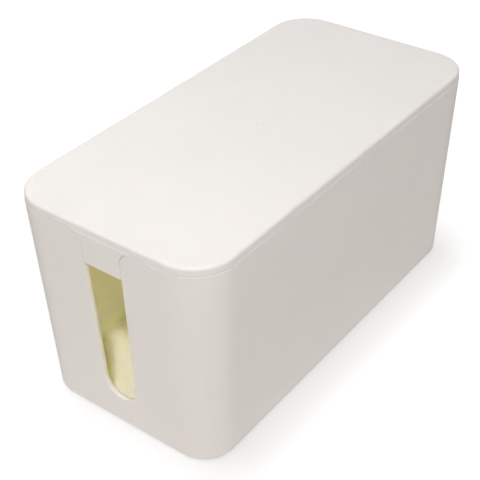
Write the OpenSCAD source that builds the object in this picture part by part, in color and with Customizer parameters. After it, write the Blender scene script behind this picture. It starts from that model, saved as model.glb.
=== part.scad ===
// Cable management box: an open tub with a cord slot in each end, a lift-off lid and four rubber feet.
// X runs along the box, Y across it and Z up. The origin is at the middle of the box, on the surface
// that the feet stand on.

/* [Box] */
// Length of the box at the joint line between tub and lid, where it is widest
box_l = 235; // [180:5:420]
// Width of the box at the joint line
box_w = 116; // [100:2:180]
// Height of the closed box above the underside of the tub
box_h = 118; // [80:1:160]
// Radius of the four upright corners at the joint line
corner_r = 21.5; // [16:0.5:34]
// Lean of the tub's walls: it narrows downwards by this angle on each side, in degrees
draft = 2.2; // [0.5:0.1:3]
// Thickness of the walls
wall = 2.5; // [1.8:0.1:3.2]
// Thickness of the floor
floor_t = 2.5; // [2:0.1:4]
// Rounding between the walls and the underside
base_r = 2; // [0.8:0.2:3]
// Rounding between the walls and the floor, inside
floor_r = 4; // [2:0.5:6]

/* [Lid] */
// Height of the lid's outer edge, from the joint line to the top
lid_edge = 4.4; // [3.2:0.1:6]
// Lean of the lid's outer edge: the lid narrows upwards by this angle on each side, in degrees
lid_draft = 1.5; // [0.5:0.5:3]
// Thickness of the lid's plate
lid_t = 2.4; // [1.8:0.1:2.8]
// Rounding of the lid's top edge
lid_r = 1.4; // [1:0.1:2.6]
// Rounding of the lid's lower edge, at the joint line
lid_low_r = 0.1; // [0.1:0.05:0.4]
// Distance that the lid's outer edge stands back from the rim all round
lid_setback = 0.2; // [0:0.05:0.3]
// Rounding of the tub's rim, at the joint line
rim_r = 0.25; // [0.2:0.05:0.6]
// Depth of the locating skirt below the joint line
skirt_depth = 5; // [3:0.5:9]
// Thickness of the locating skirt
skirt_t = 1.6; // [1.2:0.1:2.4]
// Clearance between the locating skirt and the inside of the walls
skirt_gap = 0.4; // [0.3:0.05:0.8]
// Rounding of the skirt's lower outer edge, which leads it into the rim
skirt_lead = 0.8; // [0.4:0.1:1]
// Rounding between the skirt and the plate, under the lid
skirt_r = 1; // [0.5:0.1:2]

/* [Cord slots] */
// Width of a cord slot at the rim, between its straight sides
slot_w = 23; // [16:0.5:30]
// Lean of the slot's sides: the slot narrows downwards by this angle on each side, in degrees
slot_draft = 1.2; // [0.5:0.1:1.5]
// Height of the slot's lowest point above the underside of the tub
slot_sill = 17.3; // [12:0.5:30]
// Radius of the flared corners where the slot meets the rim
mouth_r = 8; // [4:0.5:9]
// Depth of the lid's tab, which closes the top of the slot, below the lid's top
tab_depth = 20.8; // [16:0.5:28]
// Clearance between the tab and the slot
tab_gap = 0.2; // [0.15:0.05:0.6]
// Rounding of the tab's lower corners
tab_r = 0.8; // [0.4:0.1:1.5]
// Thickness of the two gussets behind a tab
gusset_t = 1.6; // [1.2:0.1:2.4]
// Reach of a gusset along the underside of the plate, from the tab's inner face
gusset_reach = 7; // [5:0.5:8]
// Height left free between a gusset and the lower edge of its tab
gusset_rise = 4; // [2:0.5:6]
// Distance from the side of the tab to the middle of a gusset
gusset_inset = 4; // [3:0.5:5]

/* [Feet] */
// Diameter of a rubber foot
foot_d = 12; // [8:0.5:14]
// Thickness of a rubber foot
foot_t = 2; // [1.6:0.1:2.4]
// Height that the feet lift the tub
foot_lift = 1; // [0.8:0.1:1.2]
// Rounding of a foot's lower edge
foot_r = 0.4; // [0.2:0.1:0.6]
// Clearance round a foot in its pocket
foot_gap = 0.2; // [0.1:0.05:0.4]
// Distance from the edges of the underside to the middle of a foot
foot_inset = 17; // [15:0.5:24]

/* [Mould marks] */
// Diameter of the dished gate mark in the middle of the lid and of the underside
gate_d = 5; // [3:0.5:8]
// Depth of the gate mark
gate_depth = 0.35; // [0.2:0.05:0.5]
// Diameter of the stub that the gate leaves in its mark
gate_stub_d = 1.4; // [0.8:0.1:2]
// Distance of the stub's end below the surface round the mark
gate_stub_rise = 0.1; // [0.05:0.05:0.15]

/* [Hidden] */
$fn = 96;
plastic = [0.93, 0.92, 0.89];
rubber = [0.25, 0.25, 0.26];
// Overrun of a cutting shape past the face that it opens
over = 1;
// Overlap of a rounding with the straight faces that it runs into, so that they meet in one clean edge
blend = 0.001;
top_z = foot_lift + box_h;
rim_z = top_z - lid_edge;
skirt_z = rim_z - skirt_depth;
plate_z = top_z - lid_t;
tab_z = top_z - tab_depth;
floor_z = foot_lift + floor_t;
slot_low = foot_lift + slot_sill;
// Distances between the centre lines of the corners
span_x = box_l - 2 * corner_r;
span_y = box_w - 2 * corner_r;
skirt_inset = wall + skirt_gap;
// Radius of the slot's round lower end, which touches both leaning sides
slot_end_r = (cos(slot_draft) * slot_w / 2 - sin(slot_draft) * (rim_z - slot_low)) / (1 - sin(slot_draft));
// Radius of the sphere that dishes a gate mark
gate_r = (gate_d * gate_d / 4 + gate_depth * gate_depth) / (2 * gate_depth);
foot_x = span_x / 2 + reach(foot_lift) - foot_inset;
foot_y = span_y / 2 + reach(foot_lift) - foot_inset;

// Distance of a leaning wall from the centre line of its corner at height z, less an inset
function reach(z, inset = 0, lean = draft) = corner_r - inset - tan(lean) * (rim_z - z);

// Half the width of the slot at height z, less a gap square to its side
function slot_half(z, gap = 0) = slot_w / 2 - tan(slot_draft) * (rim_z - z) - gap / cos(slot_draft);

// Section of a leaning wall from its corner's centre line outwards, with rounded lower and upper edges
module wall_section(low, high, inset = 0, low_r = 0, high_r = 0, lean = draft) {
    low_x = reach(low, inset, lean) - low_r * (1 - sin(lean)) / cos(lean);
    high_x = reach(high, inset, lean) - high_r * (1 + sin(lean)) / cos(lean);
    low_touch = [low_x + low_r * cos(lean), low + low_r * (1 - sin(lean))];
    high_touch = [high_x + high_r * cos(lean), high - high_r * (1 + sin(lean))];
    intersection() {
        union() {
            polygon(concat(
                [[0, low], [low_x, low]],
                low_r > 0 ? [low_touch] : [],
                high_r > 0 ? [high_touch] : [],
                [[high_x, high], [0, high]]
            ));
            if (low_r > 0) translate([low_x, low + low_r]) circle(low_r + blend);
            if (high_r > 0) translate([high_x, high - high_r]) circle(high_r + blend);
        }
        translate([0, low]) square([corner_r, high - low]);
    }
}

// Solid with four upright round corners, whose sides follow the wall section given as its child
module rounded_block(low, high) {
    translate([-span_x / 2, -span_y / 2, low]) cube([span_x, span_y, high - low]);
    for (end = [0, 1]) {
        mirror([end, 0, 0])
            translate([span_x / 2, 0, 0])
                rotate([90, 0, 0])
                    linear_extrude(span_y, center = true) children();
        mirror([0, end, 0])
            translate([0, span_y / 2, 0])
                rotate([90, 0, 90])
                    linear_extrude(span_x, center = true) children();
        for (side = [0, 1])
            mirror([end, 0, 0])
                mirror([0, side, 0])
                    translate([span_x / 2, span_y / 2, 0])
                        rotate_extrude(angle = 90) children();
    }
}

// Straight sides and flared mouth of the cord slot, seen from the end of the box
module slot_mouth(low, high, gap = 0) {
    flare_r = mouth_r + gap;
    flare_z = rim_z - mouth_r;
    flare_x = slot_half(flare_z) + mouth_r / cos(slot_draft);
    touch_x = flare_x - flare_r * cos(slot_draft);
    touch_z = flare_z + flare_r * sin(slot_draft);
    polygon([
        [-slot_half(low, gap), low],
        [slot_half(low, gap), low],
        [slot_half(high, gap), high],
        [-slot_half(high, gap), high]
    ]);
    for (side = [0, 1])
        mirror([side, 0])
            difference() {
                polygon([
                    [0, touch_z],
                    [touch_x, touch_z],
                    [flare_x, flare_z],
                    [flare_x, high],
                    [0, high]
                ]);
                translate([flare_x, flare_z]) circle(flare_r + blend);
            }
}

// Whole outline of the cord slot
module slot_outline() {
    end_z = slot_low + slot_end_r;
    slot_mouth(end_z - slot_end_r * sin(slot_draft), rim_z + over);
    translate([0, end_z]) circle(slot_end_r + blend);
}

// Extrudes an outline seen from the end of the box, from one end past the other
module along_box(length) {
    rotate([90, 0, 90]) linear_extrude(length, center = true) children();
}

// Outline of the lid's tab, which follows the slot at a gap and has rounded lower corners
module tab_outline(high) {
    low_half = slot_half(tab_z, tab_gap) - tab_r * (1 - sin(slot_draft)) / cos(slot_draft);
    slot_mouth(tab_z + tab_r * (1 - sin(slot_draft)), high, tab_gap);
    translate([-low_half, tab_z]) square([2 * low_half, 2 * tab_r]);
    for (side = [-1, 1])
        translate([side * low_half, tab_z + tab_r]) circle(tab_r + blend);
}

// Tab at one end of the lid: the piece of wall that closes the top of the slot
module end_tab() {
    face_x = span_x / 2;
    // The tab runs up into the lid's edge, past the rounding at the joint line
    head_z = rim_z + 2 * lid_low_r;
    root_inset = skirt_inset + skirt_t / 2;
    intersection() {
        translate([face_x, 0, 0]) along_box(2 * corner_r + 2 * over) tab_outline(head_z);
        rotate([90, 0, 0])
            linear_extrude(box_w, center = true)
                polygon([
                    [face_x + reach(tab_z, wall), tab_z],
                    [face_x + reach(tab_z), tab_z],
                    [face_x + reach(rim_z), rim_z],
                    [face_x + reach(head_z, lid_setback, -lid_draft), head_z],
                    [face_x + reach(head_z, wall), head_z]
                ]);
    }
    rotate([90, 0, 0])
        linear_extrude(2 * slot_half(skirt_z, tab_gap), center = true)
            polygon([
                [face_x + reach(skirt_z, root_inset), skirt_z],
                [face_x + reach(skirt_z, wall / 2), skirt_z],
                [face_x + reach(plate_z, wall / 2), plate_z],
                [face_x + reach(plate_z, root_inset), plate_z]
            ]);
    for (side = [0, 1])
        mirror([0, side, 0])
            translate([0, slot_half(tab_z, tab_gap) - gusset_inset, 0])
                rotate([90, 0, 0])
                    linear_extrude(gusset_t, center = true)
                        polygon([
                            [face_x + reach(tab_z + gusset_rise, wall), tab_z + gusset_rise],
                            [face_x + reach(tab_z + gusset_rise, wall / 2), tab_z + gusset_rise],
                            [face_x + reach(plate_z, wall / 2), plate_z],
                            [face_x + reach(plate_z, wall + gusset_reach), plate_z]
                        ]);
}

// Dished gate mark in a face that looks up at height z, with the gate's stub left standing in it
module gate_mark(z) {
    difference() {
        translate([0, 0, z + gate_r - gate_depth]) sphere(gate_r);
        translate([0, 0, z - gate_depth - over]) cylinder(d = gate_stub_d, h = gate_depth + over - gate_stub_rise);
    }
}

// Tub with leaning walls, open at the top
module box_body() {
    color(plastic)
        difference() {
            rounded_block(foot_lift, rim_z) wall_section(foot_lift, rim_z, low_r = base_r, high_r = rim_r);
            rounded_block(floor_z, rim_z + over) wall_section(floor_z, rim_z + over, wall, low_r = floor_r);
            along_box(box_l + 2 * over) slot_outline();
            for (x = [-foot_x, foot_x], y = [-foot_y, foot_y])
                translate([x, y, foot_lift - over]) cylinder(d = foot_d + 2 * foot_gap, h = foot_t - foot_lift + over);
            mirror([0, 0, 1]) gate_mark(-foot_lift);
        }
}

// Lift-off lid: a plate nearly flush with the walls, a skirt that drops inside the rim and a tab at each end
module lid() {
    color(plastic)
        difference() {
            union() {
                rounded_block(rim_z, top_z)
                    wall_section(rim_z, top_z, lid_setback, low_r = lid_low_r, high_r = lid_r, lean = -lid_draft);
                rounded_block(skirt_z, plate_z) wall_section(skirt_z, plate_z, skirt_inset, low_r = skirt_lead);
            }
            rounded_block(skirt_z - over, plate_z)
                wall_section(skirt_z - over, plate_z, skirt_inset + skirt_t, high_r = skirt_r);
            gate_mark(top_z);
        }
    color(plastic)
        for (end = [0, 1])
            mirror([end, 0, 0]) end_tab();
}

// Rubber foot with a rounded lower edge, stuck into its pocket in the underside
module foot(end, side) {
    color(rubber)
        translate([end * foot_x, side * foot_y, 0])
            rotate_extrude() {
                polygon([
                    [0, 0],
                    [foot_d / 2 - foot_r, 0],
                    [foot_d / 2, foot_r],
                    [foot_d / 2, foot_t],
                    [0, foot_t]
                ]);
                translate([foot_d / 2 - foot_r, foot_r]) circle(foot_r);
            }
}

box_body();
lid();
foot(-1, -1);  // foot_front_left
foot(1, -1);  // foot_front_right
foot(-1, 1);  // foot_rear_left
foot(1, 1);  // foot_rear_right
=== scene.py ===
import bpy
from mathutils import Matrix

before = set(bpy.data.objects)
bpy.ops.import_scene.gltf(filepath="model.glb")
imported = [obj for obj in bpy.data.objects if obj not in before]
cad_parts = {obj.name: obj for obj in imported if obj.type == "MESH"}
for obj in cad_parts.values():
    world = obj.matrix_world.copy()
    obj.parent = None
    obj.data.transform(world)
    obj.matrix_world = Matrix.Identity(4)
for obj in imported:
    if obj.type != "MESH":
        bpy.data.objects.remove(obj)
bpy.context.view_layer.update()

import math

import bpy
from mathutils import Matrix, Vector

MM = 0.001
WHITE = (1, 1, 1)

# Pieces by what they are made of
MOULDINGS = ["box_body", "lid"]
FEET = [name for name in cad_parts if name.startswith("foot")]

# Camera: where it stands, how it is turned, its lens and its nearest and farthest sight in metres
CAMERA_PLACE = Vector((-0.37786, -0.27865, 0.38810))
CAMERA_AZIMUTH = math.radians(-52.265)
CAMERA_ELEVATION = math.radians(36.087)
CAMERA_ROLL = math.radians(-1.418)
CAMERA_LENS_MM = 81.21
CAMERA_SENSOR_MM = 36
CAMERA_SIGHT = (0.01, 20)

# Studio: two lamps over the corner that faces the camera, soft boxes at the left, the back
# and the right, and a faint even surround.
# Azimuth and elevation in degrees, distance and size in metres, power in watts, tint linear.
LAMPS = {
    "key": {
        "azimuth": -55.5, "elevation": 52, "distance": 1.3, "size": 0.12,
        "power": 9.5, "tint": (1.04, 0.976, 0.942),
    },
    "high": {
        "azimuth": -45, "elevation": 73, "distance": 1.3, "size": 0.3,
        "power": 3.2, "tint": (0.99, 1.004, 1.07),
    },
    "left_box": {
        "azimuth": -142, "elevation": 35, "distance": 1.2, "size": 0.7,
        "power": 1.8, "tint": (1.02, 1.0, 0.9),
    },
    "back_box": {
        "azimuth": 150, "elevation": 40, "distance": 1.2, "size": 0.7,
        "power": 3.7, "tint": (1.0, 1.0, 0.98),
    },
    "right_box": {
        "azimuth": 38, "elevation": 35, "distance": 1.2, "size": 0.7,
        "power": 1.4, "tint": (1.02, 0.98, 0.86),
    },
}
LAMP_TARGET = Vector((0, 0, 0.06))
SURROUND = 0.03

# Floor: FLOOR_ALBEDO is what it throws back at the object. To the camera it is a plain white
# of strength FLOOR_WHITE, which rises to 1 between the two distances from the object, plus a
# share lit by the lamps. The object's soft shade lies on it, up to SHADE_REACH from the
# object and leaning away from the lamps.
FLOOR_HALF_SIDE = 3.0
FLOOR_ALBEDO = (0.85, 0.832, 0.81)
FLOOR_LIT = (0.25, 0.25, 0.25)
FLOOR_WHITE = 0.80
WHITE_DISTANCES = (0.15, 0.60)
SHADE_REACH = 0.0235
SHADE_LEAN = (-0.25, 0.75, 0.6)
SHADE_DEPTH = 0.42
SHADE_SAMPLES = 16

# A noise's values lie mostly between these two
NOISE_SPAN = (0.3, 0.7)

# Plastic's colour: the outer faces, with painted shade in the hollows of the grain and a little
# darker in faint clouds, and the faces inside painted brighter and warmer, as painted light for
# the light that bounces and glows inside the box
PLASTIC = (0.896, 0.886, 0.872)
PLASTIC_GRAIN_SHADE = (0.866, 0.857, 0.843)
LIT_INSIDE_PLASTIC = (1.0, 0.996, 0.915)
LIT_INSIDE_CLOUDED_PLASTIC = (0.998, 0.99, 0.905)
CLOUD_MM = 45.0
CLOUD_DETAIL = 3.0
CLOUD_TONE = 0.02

# Plastic's glow: how deep light goes in, and its spread by colour. The faces inside glow
# through the walls, except near the tub's floor, where the glow grows between two heights.
PLASTIC_IOR = 1.46
GLOW_MM = 0.8
GLOW_INSIDE_MM = 8.0
GLOW_SPREAD = (1.0, 0.97, 0.9)
GLOW_SPREAD_INSIDE = (1.0, 0.8, 0.4)
GLOW_HEIGHTS = (5 * MM, 15 * MM)

# Plastic's surface: patches of sheen, moulded grain, slightly wavy faces and softened edges
PLASTIC_ROUGHNESS = (0.42, 0.6)
SHEEN_MM = 9.0
SHEEN_DETAIL = 4.0
GRAIN_MM = 0.4
GRAIN_DEPTH_MM = 0.05
WAVE_MM = 60.0
WAVE_DETAIL = 1.0
WAVE_DEPTH_MM = 0.15
EDGE_ROUND_MM = 0.4
EDGE_SAMPLES = 6

# Rubber: its two tones, blended by patches of dust, its roughness and its fine pebbled face
RUBBER = (0.018, 0.018, 0.02)
RUBBER_WORN = (0.045, 0.044, 0.043)
RUBBER_ROUGHNESS = (0.7, 0.9)
DUST_MM = 2.5
DUST_DETAIL = 4.0
DUST_SPAN = (0.4, 0.7)
RUBBER_GRAIN_MM = 0.35
RUBBER_GRAIN_DEPTH_MM = 0.06

# Light crosses the closed box many times before it leaves
BOUNCES = 60

# The walls' outer face, from the construction: round a core of this half length and half
# width it stands off by CORNER_RADIUS at RIM_HEIGHT, and less below, by the slope.
CORE_HALF_X = 96 * MM
CORE_HALF_Y = 36.5 * MM
CORNER_RADIUS = 21.5 * MM
RIM_HEIGHT = 114.6 * MM
WALL_SLOPE = math.tan(math.radians(2.2))

# What lies inside: from these depths behind the outer face of the walls, under the lid's
# outer skin and over the base's
INSIDE_DEPTHS = (0.4 * MM, 2.0 * MM)
LID_SKIN_HEIGHT = 117.8 * MM
BASE_SKIN_HEIGHT = 2.2 * MM


def direction(azimuth, elevation):
    """Unit vector from the object towards something at that azimuth and elevation."""
    return Vector((
        math.sin(azimuth) * math.cos(elevation),
        -math.cos(azimuth) * math.cos(elevation),
        math.sin(elevation),
    ))


def add_camera():
    back = direction(CAMERA_AZIMUTH, CAMERA_ELEVATION)
    level_right = Vector((math.cos(CAMERA_AZIMUTH), math.sin(CAMERA_AZIMUTH), 0))
    level_up = back.cross(level_right)
    right = math.cos(CAMERA_ROLL) * level_right + math.sin(CAMERA_ROLL) * level_up
    up = math.cos(CAMERA_ROLL) * level_up - math.sin(CAMERA_ROLL) * level_right
    data = bpy.data.cameras.new("camera")
    data.sensor_width = CAMERA_SENSOR_MM
    data.lens = CAMERA_LENS_MM
    data.clip_start, data.clip_end = CAMERA_SIGHT
    camera = bpy.data.objects.new("camera", data)
    turn = Matrix((right, up, back)).transposed().to_4x4()
    camera.matrix_world = Matrix.Translation(CAMERA_PLACE) @ turn
    bpy.context.scene.collection.objects.link(camera)
    bpy.context.scene.camera = camera


def add_lamps():
    for name, lamp in LAMPS.items():
        back = direction(math.radians(lamp["azimuth"]), math.radians(lamp["elevation"]))
        data = bpy.data.lights.new(name, "AREA")
        data.shape = "DISK"
        data.size = lamp["size"]
        data.energy = lamp["power"]
        data.color = lamp["tint"]
        thing = bpy.data.objects.new(name, data)
        thing.location = LAMP_TARGET + back * lamp["distance"]
        thing.rotation_euler = back.to_track_quat("Z", "Y").to_euler()
        bpy.context.scene.collection.objects.link(thing)


class Nodes:
    """Short calls for making and joining the nodes of one tree."""

    def __init__(self, tree):
        self.tree = tree
        tree.nodes.clear()

    def add(self, kind, **settings):
        node = self.tree.nodes.new(kind)
        for name, value in settings.items():
            setattr(node, name, value)
        return node

    def join(self, out_socket, in_socket):
        self.tree.links.new(out_socket, in_socket)

    def feed(self, value, in_socket):
        """Joins a socket, or sets a plain value."""
        if isinstance(value, bpy.types.NodeSocket):
            self.join(value, in_socket)
        else:
            in_socket.default_value = value

    def fed(self, kind, *values, **settings):
        """A new node whose first inputs are fed the values in order."""
        node = self.add(kind, **settings)
        for value, in_socket in zip(values, node.inputs):
            self.feed(value, in_socket)
        return node

    def math(self, operation, *values):
        return self.fed("ShaderNodeMath", *values, operation=operation).outputs[0]

    def span(self, value, low, high, out_low, out_high, kind="LINEAR"):
        """The value's share between low and high, mapped to out_low up to out_high."""
        limits = (low, high, out_low, out_high)
        node = self.fed("ShaderNodeMapRange", value, *limits, interpolation_type=kind)
        return node.outputs["Result"]

    def noise(self, place, size_mm, detail=2.0):
        node = self.add("ShaderNodeTexNoise", noise_dimensions="3D")
        self.join(place, node.inputs["Vector"])
        node.inputs["Scale"].default_value = 1 / (size_mm * MM)
        node.inputs["Detail"].default_value = detail
        return node.outputs["Fac"]

    def blend(self, share, first, second):
        """Colour between the first at share 0 and the second at share 1."""
        node = self.add("ShaderNodeMix", data_type="RGBA")
        colour_inputs = [s for s in node.inputs if s.type == "RGBA"]
        colour_output = next(s for s in node.outputs if s.type == "RGBA")
        self.feed(share, node.inputs["Factor"])
        for value, in_socket in zip((first, second), colour_inputs):
            self.feed(value, in_socket)
        return colour_output

    def bump(self, height, depth_mm, normal=None):
        """Normal of a face that the height raises by up to the depth."""
        node = self.add("ShaderNodeBump")
        node.inputs["Strength"].default_value = 1.0
        node.inputs["Distance"].default_value = depth_mm * MM
        self.join(height, node.inputs["Height"])
        if normal is not None:
            self.join(normal, node.inputs["Normal"])
        return node.outputs[0]

    def plain(self, kind, colour, strength=None):
        """Shader of one colour, with a strength where it gives light."""
        node = self.add(kind)
        node.inputs["Color"].default_value = (*colour, 1)
        if strength is not None:
            self.feed(strength, node.inputs["Strength"])
        return node.outputs[0]

    def mix(self, share, first, second):
        """Shader between the first at share 0 and the second at share 1."""
        return self.fed("ShaderNodeMixShader", share, first, second).outputs[0]


def surround_world():
    """A faint even light from all round, which the camera sees as white."""
    world = bpy.data.worlds.new("surround")
    bpy.context.scene.world = world
    world.use_nodes = True
    n = Nodes(world.node_tree)
    seen = n.add("ShaderNodeLightPath").outputs["Is Camera Ray"]
    light = n.plain("ShaderNodeBackground", WHITE, SURROUND)
    backdrop = n.plain("ShaderNodeBackground", WHITE, 1.0)
    out = n.add("ShaderNodeOutputWorld")
    n.join(n.mix(seen, light, backdrop), out.inputs["Surface"])


def node_material(name):
    """A new material and the calls for its nodes."""
    material = bpy.data.materials.new(name)
    material.use_nodes = True
    return material, Nodes(material.node_tree)


def floor_shade(n):
    """The object's soft shade: 1 in the open, less where the object stands close."""
    lean = n.fed("ShaderNodeCombineXYZ", *Vector(SHADE_LEAN).normalized())
    openness = n.add("ShaderNodeAmbientOcclusion", samples=SHADE_SAMPLES)
    openness.inputs["Distance"].default_value = SHADE_REACH
    n.join(lean.outputs[0], openness.inputs["Normal"])
    return n.span(openness.outputs["AO"], 0, 1, 1 - SHADE_DEPTH, 1)


def floor_material():
    """Pale to the light, white with a soft shade to the camera, see-through from below."""
    material, n = node_material("floor")
    spot = n.add("ShaderNodeNewGeometry")
    distance = n.fed("ShaderNodeVectorMath", spot.outputs["Position"], operation="LENGTH")
    distance = distance.outputs["Value"]
    whiteness = n.span(distance, *WHITE_DISTANCES, FLOOR_WHITE, 1, "SMOOTHSTEP")
    strength = n.math("MULTIPLY", floor_shade(n), whiteness)
    white = n.plain("ShaderNodeEmission", WHITE, strength)
    lit = n.plain("ShaderNodeBsdfDiffuse", FLOOR_LIT)
    look = n.fed("ShaderNodeAddShader", white, lit).outputs[0]
    pale = n.plain("ShaderNodeBsdfDiffuse", FLOOR_ALBEDO)
    seen = n.add("ShaderNodeLightPath").outputs["Is Camera Ray"]
    clear = n.add("ShaderNodeBsdfTransparent").outputs[0]
    surface = n.mix(spot.outputs["Backfacing"], n.mix(seen, pale, look), clear)
    n.join(surface, n.add("ShaderNodeOutputMaterial").inputs["Surface"])
    return material


def add_floor():
    s = FLOOR_HALF_SIDE
    mesh = bpy.data.meshes.new("floor")
    mesh.from_pydata([(-s, -s, 0), (s, -s, 0), (s, s, 0), (-s, s, 0)], [], [(0, 1, 2, 3)])
    mesh.materials.append(floor_material())
    floor = bpy.data.objects.new("floor", mesh)
    bpy.context.scene.collection.objects.link(floor)


def inside_share(n, x, y, height):
    """0 on the outer faces, 1 on the faces inside, by the depth behind the leaning walls."""
    squares = []
    for coordinate, core_half in ((x, CORE_HALF_X), (y, CORE_HALF_Y)):
        off_core = n.math("SUBTRACT", n.math("ABSOLUTE", coordinate), core_half)
        beyond = n.math("MAXIMUM", off_core, 0.0)
        squares.append(n.math("MULTIPLY", beyond, beyond))
    off_middle = n.math("SQRT", n.math("ADD", *squares))
    outer_face_at_ground = CORNER_RADIUS - WALL_SLOPE * RIM_HEIGHT
    outer_face = n.math("MULTIPLY_ADD", height, WALL_SLOPE, outer_face_at_ground)
    depth = n.math("SUBTRACT", outer_face, off_middle)
    behind_wall = n.span(depth, *INSIDE_DEPTHS, 0.0, 1.0)
    under_lid = n.math("LESS_THAN", height, LID_SKIN_HEIGHT)
    over_base = n.math("GREATER_THAN", height, BASE_SKIN_HEIGHT)
    return n.math("MULTIPLY", behind_wall, n.math("MULTIPLY", under_lid, over_base))


def plastic_colour(n, place, inside, grain):
    peaks = n.span(grain, *NOISE_SPAN, 0.0, 1.0)
    clouds = n.span(n.noise(place, CLOUD_MM, CLOUD_DETAIL), *NOISE_SPAN, 0.0, 1.0)
    # Painted shade: the grain's hollows, where its bump sinks, take the darker colour
    grain_shaded = n.blend(peaks, (*PLASTIC_GRAIN_SHADE, 1), (*PLASTIC, 1))
    outer = n.fed("ShaderNodeVectorMath", grain_shaded, operation="SCALE")
    n.join(n.span(clouds, 0.0, 1.0, 1 - CLOUD_TONE, 1.0), outer.inputs["Scale"])
    # Painted light: the faces inside get a brighter, warmer copy of the plastic's colour
    inner_lit = n.blend(clouds, (*LIT_INSIDE_CLOUDED_PLASTIC, 1), (*LIT_INSIDE_PLASTIC, 1))
    return n.blend(inside, outer.outputs["Vector"], inner_lit)


def plastic_normal(n, place, grain):
    edge = n.add("ShaderNodeBevel", samples=EDGE_SAMPLES)
    edge.inputs["Radius"].default_value = EDGE_ROUND_MM * MM
    wave = n.noise(place, WAVE_MM, WAVE_DETAIL)
    return n.bump(grain, GRAIN_DEPTH_MM, n.bump(wave, WAVE_DEPTH_MM, edge.outputs[0]))


def plastic_material():
    """Satin white moulding that lets light through its walls."""
    material, n = node_material("moulded_plastic")
    shader = n.add("ShaderNodeBsdfPrincipled")
    place = n.add("ShaderNodeTexCoord").outputs["Object"]
    x, y, height = n.fed("ShaderNodeSeparateXYZ", place).outputs
    inside = inside_share(n, x, y, height)
    grain = n.noise(place, GRAIN_MM)
    n.join(plastic_colour(n, place, inside, grain), shader.inputs["Base Color"])
    n.join(plastic_normal(n, place, grain), shader.inputs["Normal"])
    sheen = n.noise(place, SHEEN_MM, SHEEN_DETAIL)
    n.join(n.span(sheen, *NOISE_SPAN, *PLASTIC_ROUGHNESS), shader.inputs["Roughness"])
    shader.inputs["IOR"].default_value = PLASTIC_IOR

    shader.inputs["Subsurface Weight"].default_value = 1.0
    spread = n.blend(inside, (*GLOW_SPREAD, 1), (*GLOW_SPREAD_INSIDE, 1))
    n.join(spread, shader.inputs["Subsurface Radius"])
    over_floor = n.span(height, *GLOW_HEIGHTS, 0.0, 1.0)
    glowing = n.math("MULTIPLY", inside, over_floor)
    glow = n.span(glowing, 0.0, 1.0, GLOW_MM * MM, GLOW_INSIDE_MM * MM)
    n.join(glow, shader.inputs["Subsurface Scale"])
    n.join(shader.outputs[0], n.add("ShaderNodeOutputMaterial").inputs["Surface"])
    return material


def rubber_material():
    """Dull black rubber, a little dusty, with a pebbled face."""
    material, n = node_material("rubber")
    shader = n.add("ShaderNodeBsdfPrincipled")
    place = n.add("ShaderNodeTexCoord").outputs["Object"]
    dust = n.span(n.noise(place, DUST_MM, DUST_DETAIL), *DUST_SPAN, 0.0, 1.0)
    tone = n.blend(dust, (*RUBBER, 1), (*RUBBER_WORN, 1))
    n.join(tone, shader.inputs["Base Color"])
    n.join(n.span(dust, 0.0, 1.0, *RUBBER_ROUGHNESS), shader.inputs["Roughness"])
    pebbles = n.bump(n.noise(place, RUBBER_GRAIN_MM), RUBBER_GRAIN_DEPTH_MM)
    n.join(pebbles, shader.inputs["Normal"])
    n.join(shader.outputs[0], n.add("ShaderNodeOutputMaterial").inputs["Surface"])
    return material


def dress(names, material):
    for name in names:
        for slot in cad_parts[name].material_slots:
            slot.material = material


def set_light_paths():
    """No path is cut short or blurred while light crosses the closed box."""
    cycles = bpy.context.scene.cycles
    cycles.max_bounces = BOUNCES
    cycles.diffuse_bounces = BOUNCES
    cycles.glossy_bounces = BOUNCES
    cycles.blur_glossy = 0.0
    cycles.caustics_refractive = False


add_camera()
add_lamps()
surround_world()
add_floor()
dress(MOULDINGS, plastic_material())
dress(FEET, rubber_material())
set_light_paths()
bpy.context.scene.view_settings.view_transform = "Standard"
